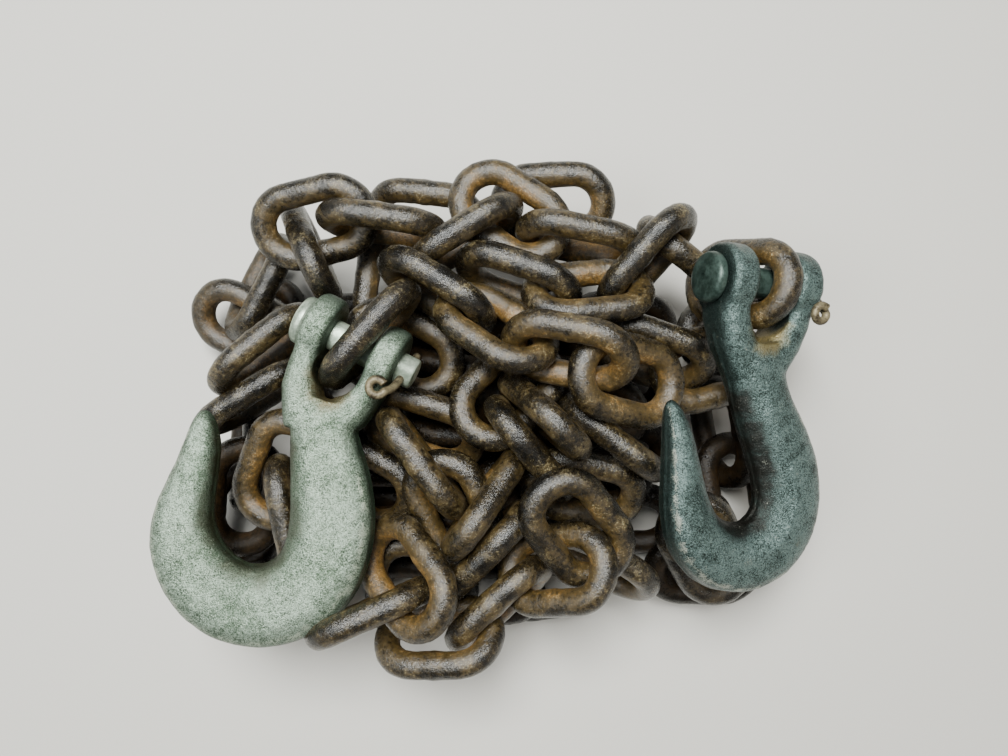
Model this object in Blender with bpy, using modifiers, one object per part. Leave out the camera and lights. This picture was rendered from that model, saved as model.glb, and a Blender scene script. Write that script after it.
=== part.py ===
import math

import bmesh
import bpy
import numpy as np
from mathutils import Matrix, Vector

# Sizes in metres. The chain is 3/8 inch welded chain: round bar bent to a long oval.
WIRE = 0.010  # thickness of the bar
INSIDE_LENGTH = 0.031  # one link's pitch
INSIDE_WIDTH = 0.014
GAP = 0.0003  # clear air kept between two pieces that touch in the real heap
TOUCH = 0.0006  # two pieces with no more air than this between them count as touching
WIRE_SIDES = 8
END_STEPS = 6  # straight steps that round one end of a link

# The two hooks are one casting design: a clevis slip hook with a headed pin.
HOOK_THICK = 0.018
HOOK_EDGE = 0.0055  # rounding of the forged edges
EAR_THICK = 0.012
BOWL_LEAN = 3  # degrees that the bowl is turned about the pin, off square to the ears
CLEVIS_GAP = 0.017
PIN_THICK = 0.0115
PIN_PLAY = 0.0006  # extra width of the bore over the pin
PIN_OUT = 0.0085  # how far the pin's plain end stands out of the ear
PIN_HEAD_WIDE = 0.021
PIN_HEAD_THICK = 0.0055
COTTER_WIRE = 0.0030
COTTER_EYE = 0.0058  # middle line of the eye, across
COTTER_LONG = 0.024
COTTER_LEAN = 40  # degrees from straight up through the hook

# The plain core that stands for the links nobody sees, with a flat bottom on the floor.
CORE_LONG = 0.160
CORE_DEEP = 0.106
CORE_HIGH = 0.038
CORE_ROUND = 0.016
CORE_SHIFT = (-0.004, -0.008)

STEPS = 400  # rounds of easing the links apart

# The reading of the picture: a camera straight above, with points for the places of the links.
VIEW_SPREAD = 756.0
VIEW_MIDDLE = (504.0, 378.0)
VIEW_FROM = (0.0029, -0.0112, 0.3495)
VIEW_LEAN = 0.062
VIEW_TURN = -0.009

# One row a link: its middle in the picture (points), the height of its middle (mm), then
# where its long side heads, how far that end is raised and how far the left limb is raised (degrees).
LINKS = {
    "A1": (316, 226, 58, 16, 0, 35),
    "A2": (301, 252, 54, -61, 22, 88),
    "A3": (387, 226, 59, -8, 0, 80),
    "A5": (256, 292, 26, 60, 12, -20),
    "A7": (270, 322, 22, -24, 0, 20),
    "A8": (257, 348, 50, 43, -8, 85),
    "A9": (242, 393, 46, 30, 4, 85),
    "A11": (426, 214, 44, 0, 0, 50),
    "A12": (398, 280, 46, 88, 0, 5),
    "A13": (290, 468, 50, 65, 0, 5),
    "A15": (291, 516, 44, -75, 0, 85),
    "B1": (509, 223, 59, -30, 0, 5),
    "B2": (460, 252, 64, 20, 0, 80),
    "B3": (423, 292, 70, -18, 0, 62),
    "B4": (502, 333, 66, -30, 0, -50),
    "B5": (500, 286, 64, -15, -12, 85),
    "C1": (575, 233, 59, -2, 0, 80),
    "C3": (580, 286, 66, 14, 0, -30),
    "D1": (640, 247, 66, 42, 22, 85),
    "D2": (700, 259, 58, -28, -8, -74),
    "F1": (552, 205, 50, 3, 0, 30),
    "E1": (573, 350, 76, -9, 0, 68),
    "E2": (643, 388, 70, -4, -8, -25),
    "E3": (646, 354, 50, -22, 0, 80),
    "E4": (706, 370, 46, 18, 0, -25),
    "D3": (738, 334, 38, -5, 0, 5),
    "G2": (518, 386, 64, 3, 0, -10),
    "G3": (538, 422, 77, -37, 5, 85),
    "G4": (540, 450, 61, -50, 0, 78),
    "G5": (499, 501, 66, 39, 0, 80),
    "G6": (480, 546, 59, 44, 0, 80),
    "H1": (380, 318, 76, 32, 0, 66),
    "H2": (739, 284, 62, -22, 47, 1),
    "H3": (405, 351, 55, -19, 8, 20),
    "J1": (580, 525, 71, -57, -4, 5),
    "J2": (555, 564, 64, 22, 22, -10),
    "J4": (607, 547, 48, -67, 0, 85),
    "J5": (497, 589, 57, 28, 0, 85),
    "K3": (603, 441, 64, -31, 0, 80),
    "L1": (601, 492, 46, -5, 14, 55),
    "M1": (432, 618, 60, 5, 0, -30),
    "M2": (410, 588, 44, 90, 30, 0),
    "M3": (396, 584, 71, -38, 0, 25),
    "M4": (376, 606, 70, 12, 0, 80),
    "N2": (700, 545, 34, -60, 0, 10),
    "O1": (440, 474, 68, -45, 0, 80),
    "O2": (460, 507, 58, -50, 0, 10),
    "O5": (370, 475, 44, -30, 0, 20),
    "O7": (424, 432, 44, -5, 0, 60),
}

# Each hook: the middle of its pin, its height, where the ears point, how far the ears are
# raised over the bowl, and how far the hook rolls round its shank.
HOOKS = {
    "left": (355, 345, 74, 63, 0, 0),
    "right": (759, 283, 73, 85, 5, 21),
}

# The bowl of the hook seen flat (mm from the middle of the pin), from the right of the waist
# round the bottom to the tip, then down the throat and up to the left of the waist.
BOWL = [
    (11.8, -28), (11.5, -32), (14, -36.5), (21, -44), (27.5, -52), (32.5, -61), (34.6, -70),
    (34.8, -77), (33.4, -85), (30, -92.5), (24, -100), (17, -105.5), (9.5, -109.5), (0, -112.5),
    (-10, -114), (-18, -113), (-25, -110), (-31, -105.5), (-35, -99.5), (-38, -92), (-39.5, -82),
    (-39.8, -70), (-40.6, -60), (-42, -52), (-42.8, -47), (-42, -43), (-39.5, -41), (-36.3, -41),
    (-33.6, -43), (-31.3, -49), (-28.5, -56), (-26.2, -63), (-24.5, -71), (-22, -79), (-17.5, -84),
    (-12, -86.5), (-6, -86.3), (-1, -83.6), (2.6, -79), (4.8, -72.5), (4.9, -66), (3.2, -60),
    (-0.5, -53.5), (-5, -46.5), (-9, -39.5), (-11, -33.5), (-12.2, -29),
]


def turn_about(axis, degrees):
    return np.array(Matrix.Rotation(math.radians(degrees), 3, axis))


def place_in_picture(across, down, high):
    # The point at this height that the camera sees at this place of the picture.
    look = turn_about("Z", math.degrees(VIEW_TURN)) @ turn_about("X", math.degrees(VIEW_LEAN))
    ray = look @ np.array([across - VIEW_MIDDLE[0], VIEW_MIDDLE[1] - down, -VIEW_SPREAD])
    eye = np.array(VIEW_FROM)
    return eye + ray * (high - eye[2]) / ray[2]


def turn_of(heading, raised, rolled):
    # The first column runs along the piece, the second across it to the left, the third up.
    return turn_about("Z", heading) @ turn_about("Y", -raised) @ turn_about("X", rolled)


def link_line():
    # The middle line of one link's bar, lying flat.
    radius = (INSIDE_WIDTH + WIRE) / 2
    half = (INSIDE_LENGTH - INSIDE_WIDTH) / 2
    line = []
    for side in (1, -1):
        for step in range(END_STEPS + 1):
            angle = math.pi * (step / END_STEPS - 0.5)
            line.append((side * (half + radius * math.cos(angle)), side * radius * math.sin(angle), 0))
    return np.array(line)


def hook_outline():
    # The whole hook seen flat: two round-ended ears with the slot between them, then the bowl.
    near = CLEVIS_GAP / 2
    rise = [(0, 0.0065), (0.07, 0.0102), (0.25, 0.0127), (0.5, 0.0135), (0.75, 0.0127), (0.93, 0.0102), (1, 0.0065)]
    right = [(near + share * EAR_THICK, high) for share, high in rise]
    right += [(near + EAR_THICK, -0.002), (near + EAR_THICK - 0.0007, -0.008)]
    right += [(near + EAR_THICK - 0.003, -0.016), (near + EAR_THICK - 0.006, -0.023)]
    left = [(-x, y) for x, y in reversed(right)]
    slot = [(-near * math.cos(math.radians(a)), -0.0115 - near * math.sin(math.radians(a))) for a in range(0, 181, 30)]
    lean = math.radians(BOWL_LEAN)
    bowl = [(x * math.cos(lean) - y * math.sin(lean), x * math.sin(lean) + y * math.cos(lean)) for x, y in BOWL]
    return right + [(x / 1000, y / 1000) for x, y in bowl] + left + slot


def hook_frame(name):
    across, down, high, heading, raised, rolled = HOOKS[name]
    turn = turn_of(heading, raised, rolled)
    # Seen from above with the ears pointing up, the pin runs to the right.
    return place_in_picture(across, down, high / 1000), np.column_stack([-turn[:, 1], turn[:, 0], turn[:, 2]])


def lengths(rows):
    return np.sqrt((rows * rows).sum(-1))


def nearest_points(a, along_a, b, along_b):
    # The two nearest points of each pair of short straight pieces.
    gap = a - b
    aa, bb, ab = (along_a * along_a).sum(-1), (along_b * along_b).sum(-1), (along_a * along_b).sum(-1)
    ga, gb = (along_a * gap).sum(-1), (along_b * gap).sum(-1)
    s = np.clip((ab * gb - ga * bb) / np.maximum(aa * bb - ab * ab, 1e-18), 0, 1)
    t = np.clip((ab * s + gb) / bb, 0, 1)
    s = np.clip((ab * t - ga) / aa, 0, 1)
    return a + along_a * s[..., None], b + along_b * t[..., None]


def room_at_outline(points, outline):
    # How far points of a plane are outside an outline, less than nothing inside it.
    start = np.array(outline)
    edge = np.roll(start, -1, 0) - start
    gap = points[:, None] - start
    share = np.clip((gap * edge).sum(-1) / (edge * edge).sum(-1), 0, 1)
    room = lengths(gap - share[..., None] * edge).min(1)
    y, y0, y1 = points[:, None, 1], start[:, 1], start[:, 1] + edge[:, 1]
    crossing = start[:, 0] + (y - y0) / np.where(edge[:, 1] == 0, 1, edge[:, 1]) * edge[:, 0]
    inside = (((y0 > y) != (y1 > y)) & (points[:, None, 0] < crossing)).sum(1) % 2 == 1
    return np.where(inside, -room, room)


def room_of(*ways):
    # How far outside a shape a point is, from how far it is past each of the shape's sides.
    ways = np.stack(ways, -1)
    return lengths(np.maximum(ways, 0)) + np.minimum(ways.max(-1), 0)


def room_at_hook(points, outline):
    # How far points, in the hook's own frame, are outside the hook, its pin and its cotter.
    x, y, z = points.T
    body = room_of(room_at_outline(points[:, :2], outline), abs(z) - HOOK_THICK / 2)
    out = CLEVIS_GAP / 2 + EAR_THICK
    round_pin = np.hypot(y, z)
    shaft = room_of(round_pin - PIN_THICK / 2, -x - out, x - out - PIN_OUT)
    head = room_of(round_pin - PIN_HEAD_WIDE / 2, abs(x + out + PIN_HEAD_THICK / 2 + GAP) - PIN_HEAD_THICK / 2)
    x_cotter = out + 0.003
    cotter = room_of(np.hypot(x - x_cotter, z) - COTTER_WIRE / 2 - 0.0015, abs(y) - COTTER_LONG / 2 - 0.002)
    return np.minimum(np.minimum(body, shaft), np.minimum(head, cotter))


def room_at_core(points):
    # How far points are above the floor and outside the core.
    x, y, z = points.T
    core = room_of(
        abs(x - CORE_SHIFT[0]) - CORE_LONG / 2 + CORE_ROUND,
        abs(y - CORE_SHIFT[1]) - CORE_DEEP / 2 + CORE_ROUND,
        z - CORE_HIGH + CORE_ROUND,
    ) - CORE_ROUND
    return np.minimum(core, z)


def steepest(room, points):
    # The way out at each point, from small steps along the three axes.
    step = 1e-5
    ways = [room(points + step * axis) - room(points - step * axis) for axis in np.eye(3)]
    ways = np.stack(ways, -1)
    return ways / np.maximum(lengths(ways), 1e-12)[:, None]


def push(middle, turn, arms, shifts, owners, amount):
    # Moves and turns each link by the mean of what its contacts ask for.
    sway = 0.015**2
    twist = np.cross(arms, shifts)
    ease = 1 / (1 + (np.cross(arms, shifts / np.maximum(lengths(shifts), 1e-12)[:, None]) ** 2).sum(-1) / sway)
    count = np.maximum(np.bincount(owners, minlength=len(middle)), 1) ** 0.6
    for axis in range(3):
        middle[:, axis] += amount * np.bincount(owners, shifts[:, axis] * ease, len(middle)) / count
    spin = np.stack([np.bincount(owners, twist[:, k] * ease, len(middle)) for k in range(3)], -1)
    spin *= amount / sway / count[:, None]
    for link in np.flatnonzero(lengths(spin) > 1e-9):
        turn[link] = rotation(spin[link]) @ turn[link]


def rotation(spin):
    angle = min(np.linalg.norm(spin), 0.1)
    return np.array(Matrix.Rotation(angle, 3, Vector(spin)))


def ease_apart(middle, turn, frames):
    # Starts from bars as thin as thread and lets them grow to full thickness, while each link
    # gives way to the ones it touches. Links that were looped through each other stay so.
    line = link_line()
    samples = np.concatenate([line, (line + np.roll(line, -1, 0)) / 2])
    half = len(line) // 2
    outline = hook_outline()
    first_middle, first_turn = middle.copy(), turn.copy()
    reach = INSIDE_LENGTH + 3 * WIRE + 4 * GAP
    side = lengths(line - np.roll(line, -1, 0)).max()
    middles = [np.zeros(3), np.append(np.array(outline).mean(0), 0)]
    reaches = [np.full(3, 1.0), np.array([0.07, 0.09, HOOK_THICK / 2 + WIRE])]
    left, right = np.triu_indices(len(middle), 1)
    for step in range(STEPS):
        full = min(1.0, 0.15 + step / (0.45 * STEPS))
        need = full * (WIRE + 1.25 * GAP)
        hold = 0.04 * max(0.0, 1 - step / (0.5 * STEPS))
        points = middle[:, None] + line @ turn.transpose(0, 2, 1)
        along = np.roll(points, -1, 1) - points
        near = lengths(middle[left] - middle[right]) < reach
        i, j = left[near], right[near]
        close = lengths(points[i][:, :, None] - points[j][:, None]).min((1, 2)) < need + side
        i, j = i[close], j[close]
        a, b = nearest_points(points[i][:, :, None], along[i][:, :, None], points[j][:, None], along[j][:, None])
        gap = a - b
        far = lengths(gap)
        # The deepest contact of each half of one link with each half of the other.
        parts = far.reshape(len(i), 2, half, 2, half).transpose(0, 1, 3, 2, 4).reshape(len(i) * 4, half * half)
        best = parts.argmin(1)
        pair, which = np.divmod(np.arange(len(i) * 4), 4)
        row, column = np.divmod(best, half)
        row, column = row + half * (which // 2), column + half * (which % 2)
        depth = need - far[pair, row, column]
        hit = depth > 0
        pair, row, column, depth = pair[hit], row[hit], column[hit], depth[hit]
        at_a, at_b = a[pair, row, column], b[pair, row, column]
        way = (at_a - at_b) / np.maximum(lengths(at_a - at_b), 1e-9)[:, None] * depth[:, None] / 2
        owners = [i[pair], j[pair]]
        arms = [at_a - middle[i[pair]], at_b - middle[j[pair]]]
        shifts = [way, -way]
        # The floor, the core and the hooks don't move, so the link does all the giving way.
        bodies = middle[:, None] + samples @ turn.transpose(0, 2, 1)
        flat = bodies.reshape(-1, 3)
        owner = np.repeat(np.arange(len(middle)), len(samples))
        for frame in [None] + frames:
            if frame is None:
                room, local = room_at_core, flat
            else:
                room, local = (lambda p: room_at_hook(p, outline)), (flat - frame[0]) @ frame[1]
            close = np.flatnonzero((abs(local - middles[frame is not None]) < reaches[frame is not None]).all(1))
            depth = np.zeros(len(flat))
            depth[close] = full * (WIRE / 2 + 1.25 * GAP) - room(local[close])
            hit = np.flatnonzero(depth > 0)
            if not len(hit):
                continue
            way = steepest(room, local[hit]) * depth[hit][:, None]
            owners.append(owner[hit])
            arms.append(flat[hit] - middle[owner[hit]])
            shifts.append(way if frame is None else way @ frame[1].T)
        owners, arms, shifts = np.concatenate(owners), np.concatenate(arms), np.concatenate(shifts)
        push(middle, turn, arms, shifts, owners, 1.1)
        middle += hold * (first_middle - middle)
        for link in range(len(middle)):
            back = Matrix(first_turn[link] @ turn[link].T).to_quaternion()
            turn[link] = rotation(np.array(back.axis) * back.angle * hold) @ turn[link]
    return middle, turn


def link_places():
    # The more a link stands on edge, the more the reading is of its upper limb.
    rows = list(LINKS.values())
    half = (INSIDE_WIDTH + WIRE) / 2
    rises = [half * math.sin(math.radians(row[5])) ** 2 for row in rows]
    middle = [place_in_picture(row[0], row[1], row[2] / 1000 + rise) for row, rise in zip(rows, rises)]
    middle = np.array(middle) - np.outer(rises, (0, 0, 1))
    turn = np.array([turn_of(*row[3:]) for row in rows])
    return middle, turn


def room_round(link, points, along, samples, outline, frames):
    # The clear air between one link and everything else.
    others = np.arange(len(points)) != link
    a, b = nearest_points(
        points[link][None, :, None], along[link][None, :, None], points[others][:, None], along[others][:, None]
    )
    room = lengths(a - b).min() - WIRE
    spots = [room_at_core(samples).min()]
    spots += [room_at_hook((samples - frame[0]) @ frame[1], outline).min() for frame in frames]
    return min(room, min(spots) - WIRE / 2)


def settle(middle, turn, frames):
    # Lowers each link, the lowest first, until it rests on something.
    line = link_line()
    outline = hook_outline()
    for link in np.argsort(middle[:, 2]):
        for _ in range(30):
            points = middle[:, None] + line @ turn.transpose(0, 2, 1)
            along = np.roll(points, -1, 1) - points
            samples = np.concatenate([points[link], points[link] + along[link] / 2])
            room = room_round(link, points, along, samples, outline, frames) - 1.2 * GAP
            if room < 0.2 * GAP:
                break
            middle[link, 2] -= room
    return middle, turn


def rooms_between(middle, turn, frames):
    # The clear air between every two links and, in the last column, to what doesn't move.
    line = link_line()
    outline = hook_outline()
    points = middle[:, None] + line @ turn.transpose(0, 2, 1)
    along = np.roll(points, -1, 1) - points
    rooms = np.empty((len(middle), len(middle) + 1))
    for link in range(len(middle)):
        a, b = nearest_points(
            points[link][None, :, None], along[link][None, :, None], points[:, None], along[:, None]
        )
        rooms[link, :-1] = lengths(a - b).min((1, 2)) - WIRE
        samples = np.concatenate([points[link], points[link] + along[link] / 2])
        spots = [room_at_core(samples).min()]
        spots += [room_at_hook((samples - frame[0]) @ frame[1], outline).min() for frame in frames]
        rooms[link, -1] = min(spots) - WIRE / 2
    return rooms


def reached(start, rooms):
    # Every link that touches the first ones, or touches one that does.
    while True:
        more = start | (rooms[:, :-1][:, start] < TOUCH).any(1)
        if (more == start).all():
            return start
        start = more


def lower_groups(middle, turn, frames):
    # Links that only hold each other up come down together, until they rest on something.
    for _ in range(60):
        rooms = rooms_between(middle, turn, frames)
        held = reached(rooms[:, -1] < TOUCH, rooms)
        if held.all():
            break
        group = reached(np.arange(len(middle)) == np.flatnonzero(~held)[0], rooms)
        outside = np.append(~group, True)
        middle[group, 2] -= rooms[group][:, outside].min() - 1.2 * GAP
    return middle, turn


# The pieces themselves.
def collection_of(name, hidden):
    made = bpy.data.collections.new(name)
    bpy.context.scene.collection.children.link(made)
    made.hide_render = hidden
    return made


def finish(thing, colour, metal, rough):
    # Gives the object its own plain material.
    material = bpy.data.materials.new(thing.name + "_finish")
    material.use_nodes = True
    shader = material.node_tree.nodes["Principled BSDF"]
    shader.inputs["Base Color"].default_value = (*colour, 1)
    shader.inputs["Metallic"].default_value = metal
    shader.inputs["Roughness"].default_value = rough
    thing.data.materials.append(material)


def placed(middle, turn):
    matrix = Matrix(turn.tolist()).to_4x4()
    matrix.translation = Vector(middle.tolist())
    return matrix


def bar(name, lines, thick, closed, home):
    # A round bar along a line of (x, y, z, share of the thickness).
    data = bpy.data.curves.new(name, "CURVE")
    data.dimensions = "3D"
    data.bevel_depth = thick / 2
    data.bevel_resolution = (WIRE_SIDES - 4) // 2
    data.use_fill_caps = not closed
    spline = data.splines.new("POLY")
    spline.points.add(len(lines) - 1)
    for point, (x, y, z, share) in zip(spline.points, lines):
        point.co = (x, y, z, 1)
        point.radius = share
    spline.use_cyclic_u = closed
    spline.use_smooth = True
    thing = bpy.data.objects.new(name, data)
    home.objects.link(thing)
    return thing


def solid(name, form, home):
    data = bpy.data.meshes.new(name)
    bmesh.ops.recalc_face_normals(form, faces=form.faces)
    form.to_mesh(data)
    form.free()
    thing = bpy.data.objects.new(name, data)
    home.objects.link(thing)
    return thing


def round_smooth(thing):
    for face in thing.data.polygons:
        face.use_smooth = True


def cylinder(name, radius, length, sides, place, home):
    form = bmesh.new()
    bmesh.ops.create_cone(
        form, cap_ends=True, segments=sides, radius1=radius, radius2=radius, depth=length, matrix=place
    )
    return solid(name, form, home)


def cut(thing, cutter):
    cutter.hide_render = True
    cutter.display_type = "WIRE"
    step = thing.modifiers.new("cut by " + cutter.name, "BOOLEAN")
    step.operation = "DIFFERENCE"
    step.solver = "EXACT"
    step.object = cutter


def make_hook(side, frame, home, cutters):
    place = placed(*frame)
    along_pin = Matrix.Rotation(math.radians(90), 4, "Y")
    out = CLEVIS_GAP / 2 + EAR_THICK

    form = bmesh.new()
    flat = form.faces.new([form.verts.new((x, y, -HOOK_THICK / 2)) for x, y in hook_outline()])
    raised = bmesh.ops.extrude_face_region(form, geom=[flat])
    tops = [part for part in raised["geom"] if isinstance(part, bmesh.types.BMVert)]
    bmesh.ops.translate(form, verts=tops, vec=(0, 0, HOOK_THICK))
    hook = solid("hook_" + side, form, home)
    hook.matrix_world = place
    edge = hook.modifiers.new("forged edges", "BEVEL")
    edge.width = HOOK_EDGE
    edge.segments = 2
    edge.limit_method = "ANGLE"
    edge.angle_limit = math.radians(50)
    bore = cylinder("bore_" + side, (PIN_THICK + PIN_PLAY) / 2, 3 * out, 20, place @ along_pin, cutters)
    cut(hook, bore)
    round_smooth(hook)
    finish(hook, (0.42, 0.47, 0.45), 0.3, 0.55)

    # The pin is turned about its own length: head, shaft, then a chamfered plain end.
    start = -out - GAP
    profile = [
        (start - PIN_HEAD_THICK, 0), (start - PIN_HEAD_THICK, 0.38), (start - 0.8 * PIN_HEAD_THICK, 0.46),
        (start - 0.3 * PIN_HEAD_THICK, 0.5), (start, 0.48),
    ]
    profile = [(x, share * PIN_HEAD_WIDE) for x, share in profile]
    profile += [(start, PIN_THICK / 2), (out + PIN_OUT - 0.0015, PIN_THICK / 2)]
    profile += [(out + PIN_OUT, 0.36 * PIN_THICK), (out + PIN_OUT, 0)]
    form = bmesh.new()
    spots = [form.verts.new((x, r, 0)) for x, r in profile]
    for a, b in zip(spots, spots[1:]):
        form.edges.new((a, b))
    pin = solid("pin_" + side, form, home)
    pin.matrix_world = place
    lathe = pin.modifiers.new("turned", "SCREW")
    lathe.axis = "X"
    lathe.steps = lathe.render_steps = 20
    lathe.use_merge_vertices = True
    lathe.merge_threshold = 0.00001
    lathe.use_normal_calculate = True
    across = Matrix.Translation((out + 0.0028, 0, 0)) @ Matrix.Rotation(math.radians(COTTER_LEAN), 4, "X")
    hole = cylinder("cotter_hole_" + side, COTTER_WIRE / 2 + 0.0004, 0.03, 12, place @ across, cutters)
    cut(pin, hole)
    finish(pin, (0.45, 0.47, 0.45), 0.5, 0.45)

    # The cotter: a straight leg through the pin, then an open eye bent over the ear.
    leg = across.to_3x3() @ Vector((0, 0, 1))
    middle = across.translation
    line = [middle - leg * 0.0105, middle, middle + leg * 0.0122]
    path = [(*spot, 1) for spot in line]
    eye = middle + leg * 0.0152 + Vector((-0.0046, 0, 0.001))
    for angle in range(0, 301, 50):
        x = COTTER_EYE / 2 * math.cos(math.radians(angle))
        y = -COTTER_EYE / 2 * math.sin(math.radians(angle))
        path.append((eye.x + x, eye.y + y, eye.z + 0.0004 * angle / 100, 0.65))
    cotter = bar("cotter_" + side, path, COTTER_WIRE, False, home)
    cotter.matrix_world = place
    finish(cotter, (0.33, 0.27, 0.2), 0.6, 0.5)


def make_core(home):
    form = bmesh.new()
    bmesh.ops.create_cube(form, size=1)
    x, y = CORE_SHIFT
    stretch = Matrix.Diagonal((CORE_LONG, CORE_DEEP, CORE_HIGH, 1))
    bmesh.ops.transform(form, matrix=Matrix.Translation((x, y, CORE_HIGH / 2)) @ stretch, verts=form.verts)
    rounded = form.edges.layers.float.new("bevel_weight_edge")
    for line in form.edges:
        line[rounded] = float(max(spot.co.z for spot in line.verts) > CORE_HIGH / 2)
    core = solid("hidden_chain_core", form, home)
    edge = core.modifiers.new("rounded sides", "BEVEL")
    edge.width = CORE_ROUND
    edge.segments = 5
    edge.limit_method = "WEIGHT"
    round_smooth(core)
    finish(core, (0.05, 0.035, 0.025), 0.4, 0.8)


def main():
    for thing in list(bpy.data.objects):
        bpy.data.objects.remove(thing)
    home = collection_of("heap of steel chain", False)
    cutters = collection_of("cutters", True)

    frames = [hook_frame(name) for name in HOOKS]
    middle, turn = settle(*ease_apart(*link_places(), frames), frames)
    middle, turn = lower_groups(middle, turn, frames)
    line = [(*spot, 1) for spot in link_line()]
    for name, spot, way in zip(LINKS, middle, turn):
        link = bar("link_" + name.lower(), line, WIRE, True, home)
        link.matrix_world = placed(spot, way)
        finish(link, (0.13, 0.085, 0.05), 0.6, 0.55)
    for side, frame in zip(HOOKS, frames):
        make_hook(side, frame, home, cutters)
    make_core(home)


main()
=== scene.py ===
import math

import bpy
import numpy as np
from mathutils import Matrix, Vector
from mathutils.bvhtree import BVHTree


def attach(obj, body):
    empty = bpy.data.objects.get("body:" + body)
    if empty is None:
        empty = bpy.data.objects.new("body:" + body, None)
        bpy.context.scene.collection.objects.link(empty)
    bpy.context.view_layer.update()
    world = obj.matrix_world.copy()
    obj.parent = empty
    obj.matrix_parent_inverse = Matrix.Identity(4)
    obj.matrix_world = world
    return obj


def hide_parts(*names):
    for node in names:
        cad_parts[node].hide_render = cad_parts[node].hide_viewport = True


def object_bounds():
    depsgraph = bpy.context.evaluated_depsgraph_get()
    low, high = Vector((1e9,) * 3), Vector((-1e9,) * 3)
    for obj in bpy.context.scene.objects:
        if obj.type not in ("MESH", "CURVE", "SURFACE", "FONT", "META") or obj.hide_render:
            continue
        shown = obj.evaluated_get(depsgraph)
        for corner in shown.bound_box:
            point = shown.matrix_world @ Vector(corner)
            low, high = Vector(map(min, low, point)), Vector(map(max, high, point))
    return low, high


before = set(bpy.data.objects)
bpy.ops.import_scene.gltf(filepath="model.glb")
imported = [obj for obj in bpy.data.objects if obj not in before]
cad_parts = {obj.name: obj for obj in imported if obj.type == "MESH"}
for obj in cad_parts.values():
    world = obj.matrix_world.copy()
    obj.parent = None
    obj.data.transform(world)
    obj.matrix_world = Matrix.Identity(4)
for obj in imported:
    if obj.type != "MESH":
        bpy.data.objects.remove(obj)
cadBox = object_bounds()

mm = 0.001


def hexToLinear(code):
    parts = [int(code[k:k + 2], 16) / 255 for k in (1, 3, 5)]
    return (*[c / 12.92 if c <= 0.04045 else ((c + 0.055) / 1.055) ** 2.4 for c in parts], 1)


def addNode(tree, kind, settings=None, links=None):
    node = tree.nodes.new(kind)
    for name, value in (settings or {}).items():
        if isinstance(name, int) or name in node.inputs:
            node.inputs[name].default_value = value
        else:
            setattr(node, name, value)
    for name, socket in (links or {}).items():
        tree.links.new(socket, node.inputs[name])
    return node


def newMaterial(name, settings):
    material = bpy.data.materials.new(name)
    material.use_nodes = True
    shader = material.node_tree.nodes["Principled BSDF"]
    for socket, value in settings.items():
        shader.inputs[socket].default_value = value
    return material, material.node_tree, shader


def deselectAll():
    bpy.ops.object.select_all(action="DESELECT")


def pick(thing):
    deselectAll()
    thing.select_set(True)
    bpy.context.view_layer.objects.active = thing


def applyModifiers(thing):
    pick(thing)
    for step in list(thing.modifiers):
        bpy.ops.object.modifier_apply(modifier=step.name)


def addModifier(thing, kind, **settings):
    step = thing.modifiers.new(kind.lower(), kind)
    for name, value in settings.items():
        setattr(step, name, value)
    return step


def joinTo(first, others):
    deselectAll()
    for other in others:
        other.select_set(True)
    first.select_set(True)
    bpy.context.view_layer.objects.active = first
    bpy.ops.object.join()
    return first


def softStations(stations, parts):
    # A smooth run of stops through the given ones.
    rows = np.array(stations, float)
    rows[1:-1] = (rows[:-2] + 2 * rows[1:-1] + rows[2:]) / 4
    ends = np.vstack([2 * rows[0] - rows[1], rows, 2 * rows[-1] - rows[-2]])
    soft = []
    for a, b, c, d in zip(ends, ends[1:], ends[2:], ends[3:]):
        for t in np.arange(parts) / parts:
            bent = (2 * a - 5 * b + 4 * c - d) * t ** 2 + (3 * b - a - 3 * c + d) * t ** 3
            soft.append(0.5 * (2 * b + (c - a) * t + bent))
    return [tuple(row) for row in soft] + [tuple(rows[-1])]


def drawBar(name, stations, corners=None, sides=4):
    # One bar drawn along a line that stays flat: (x, y, width, height) at each stop, in mm. It is
    # round with that many sides, or square with its corners rounded by that share of its width.
    spots = [Vector((x, y, 0)) * mm for x, y, wide, high in stations]
    ways = [(b - a).normalized() for a, b in zip(spots, spots[1:])]
    turns = [math.atan2(w.y, w.x) for w in ways]
    between = [a + math.remainder(b - a, math.tau) / 2 for a, b in zip(turns, turns[1:])]
    heads = [turns[0]] + between + [turns[-1]]
    upright = (math.pi / 2, 0, heads[0] + math.pi / 2)
    deselectAll()
    if corners is None:
        bpy.ops.mesh.primitive_circle_add(
            vertices=sides, radius=0.5, fill_type="NGON", location=spots[0], rotation=upright
        )
    else:
        bpy.ops.mesh.primitive_plane_add(size=1, location=spots[0], rotation=upright)
    bar = bpy.context.object
    bar.name = bar.data.name = name
    bpy.ops.object.transform_apply(location=True, rotation=True, scale=True)
    bpy.ops.object.mode_set(mode="EDIT")
    bpy.ops.mesh.select_all(action="SELECT")
    if corners is not None:
        bpy.ops.mesh.bevel(offset=corners, segments=5, affect="VERTICES", profile=0.5)
        bpy.ops.mesh.select_all(action="SELECT")
    wide, high = stations[0][2:]
    bpy.ops.transform.resize(value=(wide * mm, wide * mm, high * mm), center_override=spots[0])
    for k in range(1, len(stations)):
        last, now = stations[k - 1], stations[k]
        step = spots[k] - spots[k - 1]
        bpy.ops.mesh.extrude_region_move(TRANSFORM_OT_translate={"value": step})
        turn = math.remainder(heads[k] - heads[k - 1], math.tau)
        if abs(turn) > 1e-4:
            bpy.ops.transform.rotate(value=-turn, orient_axis="Z", center_override=spots[k])
        across, up = now[2] / last[2], now[3] / last[3]
        bpy.ops.transform.resize(value=(across, across, up), center_override=spots[k])
    bpy.ops.object.mode_set(mode="OBJECT")
    return bar


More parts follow.
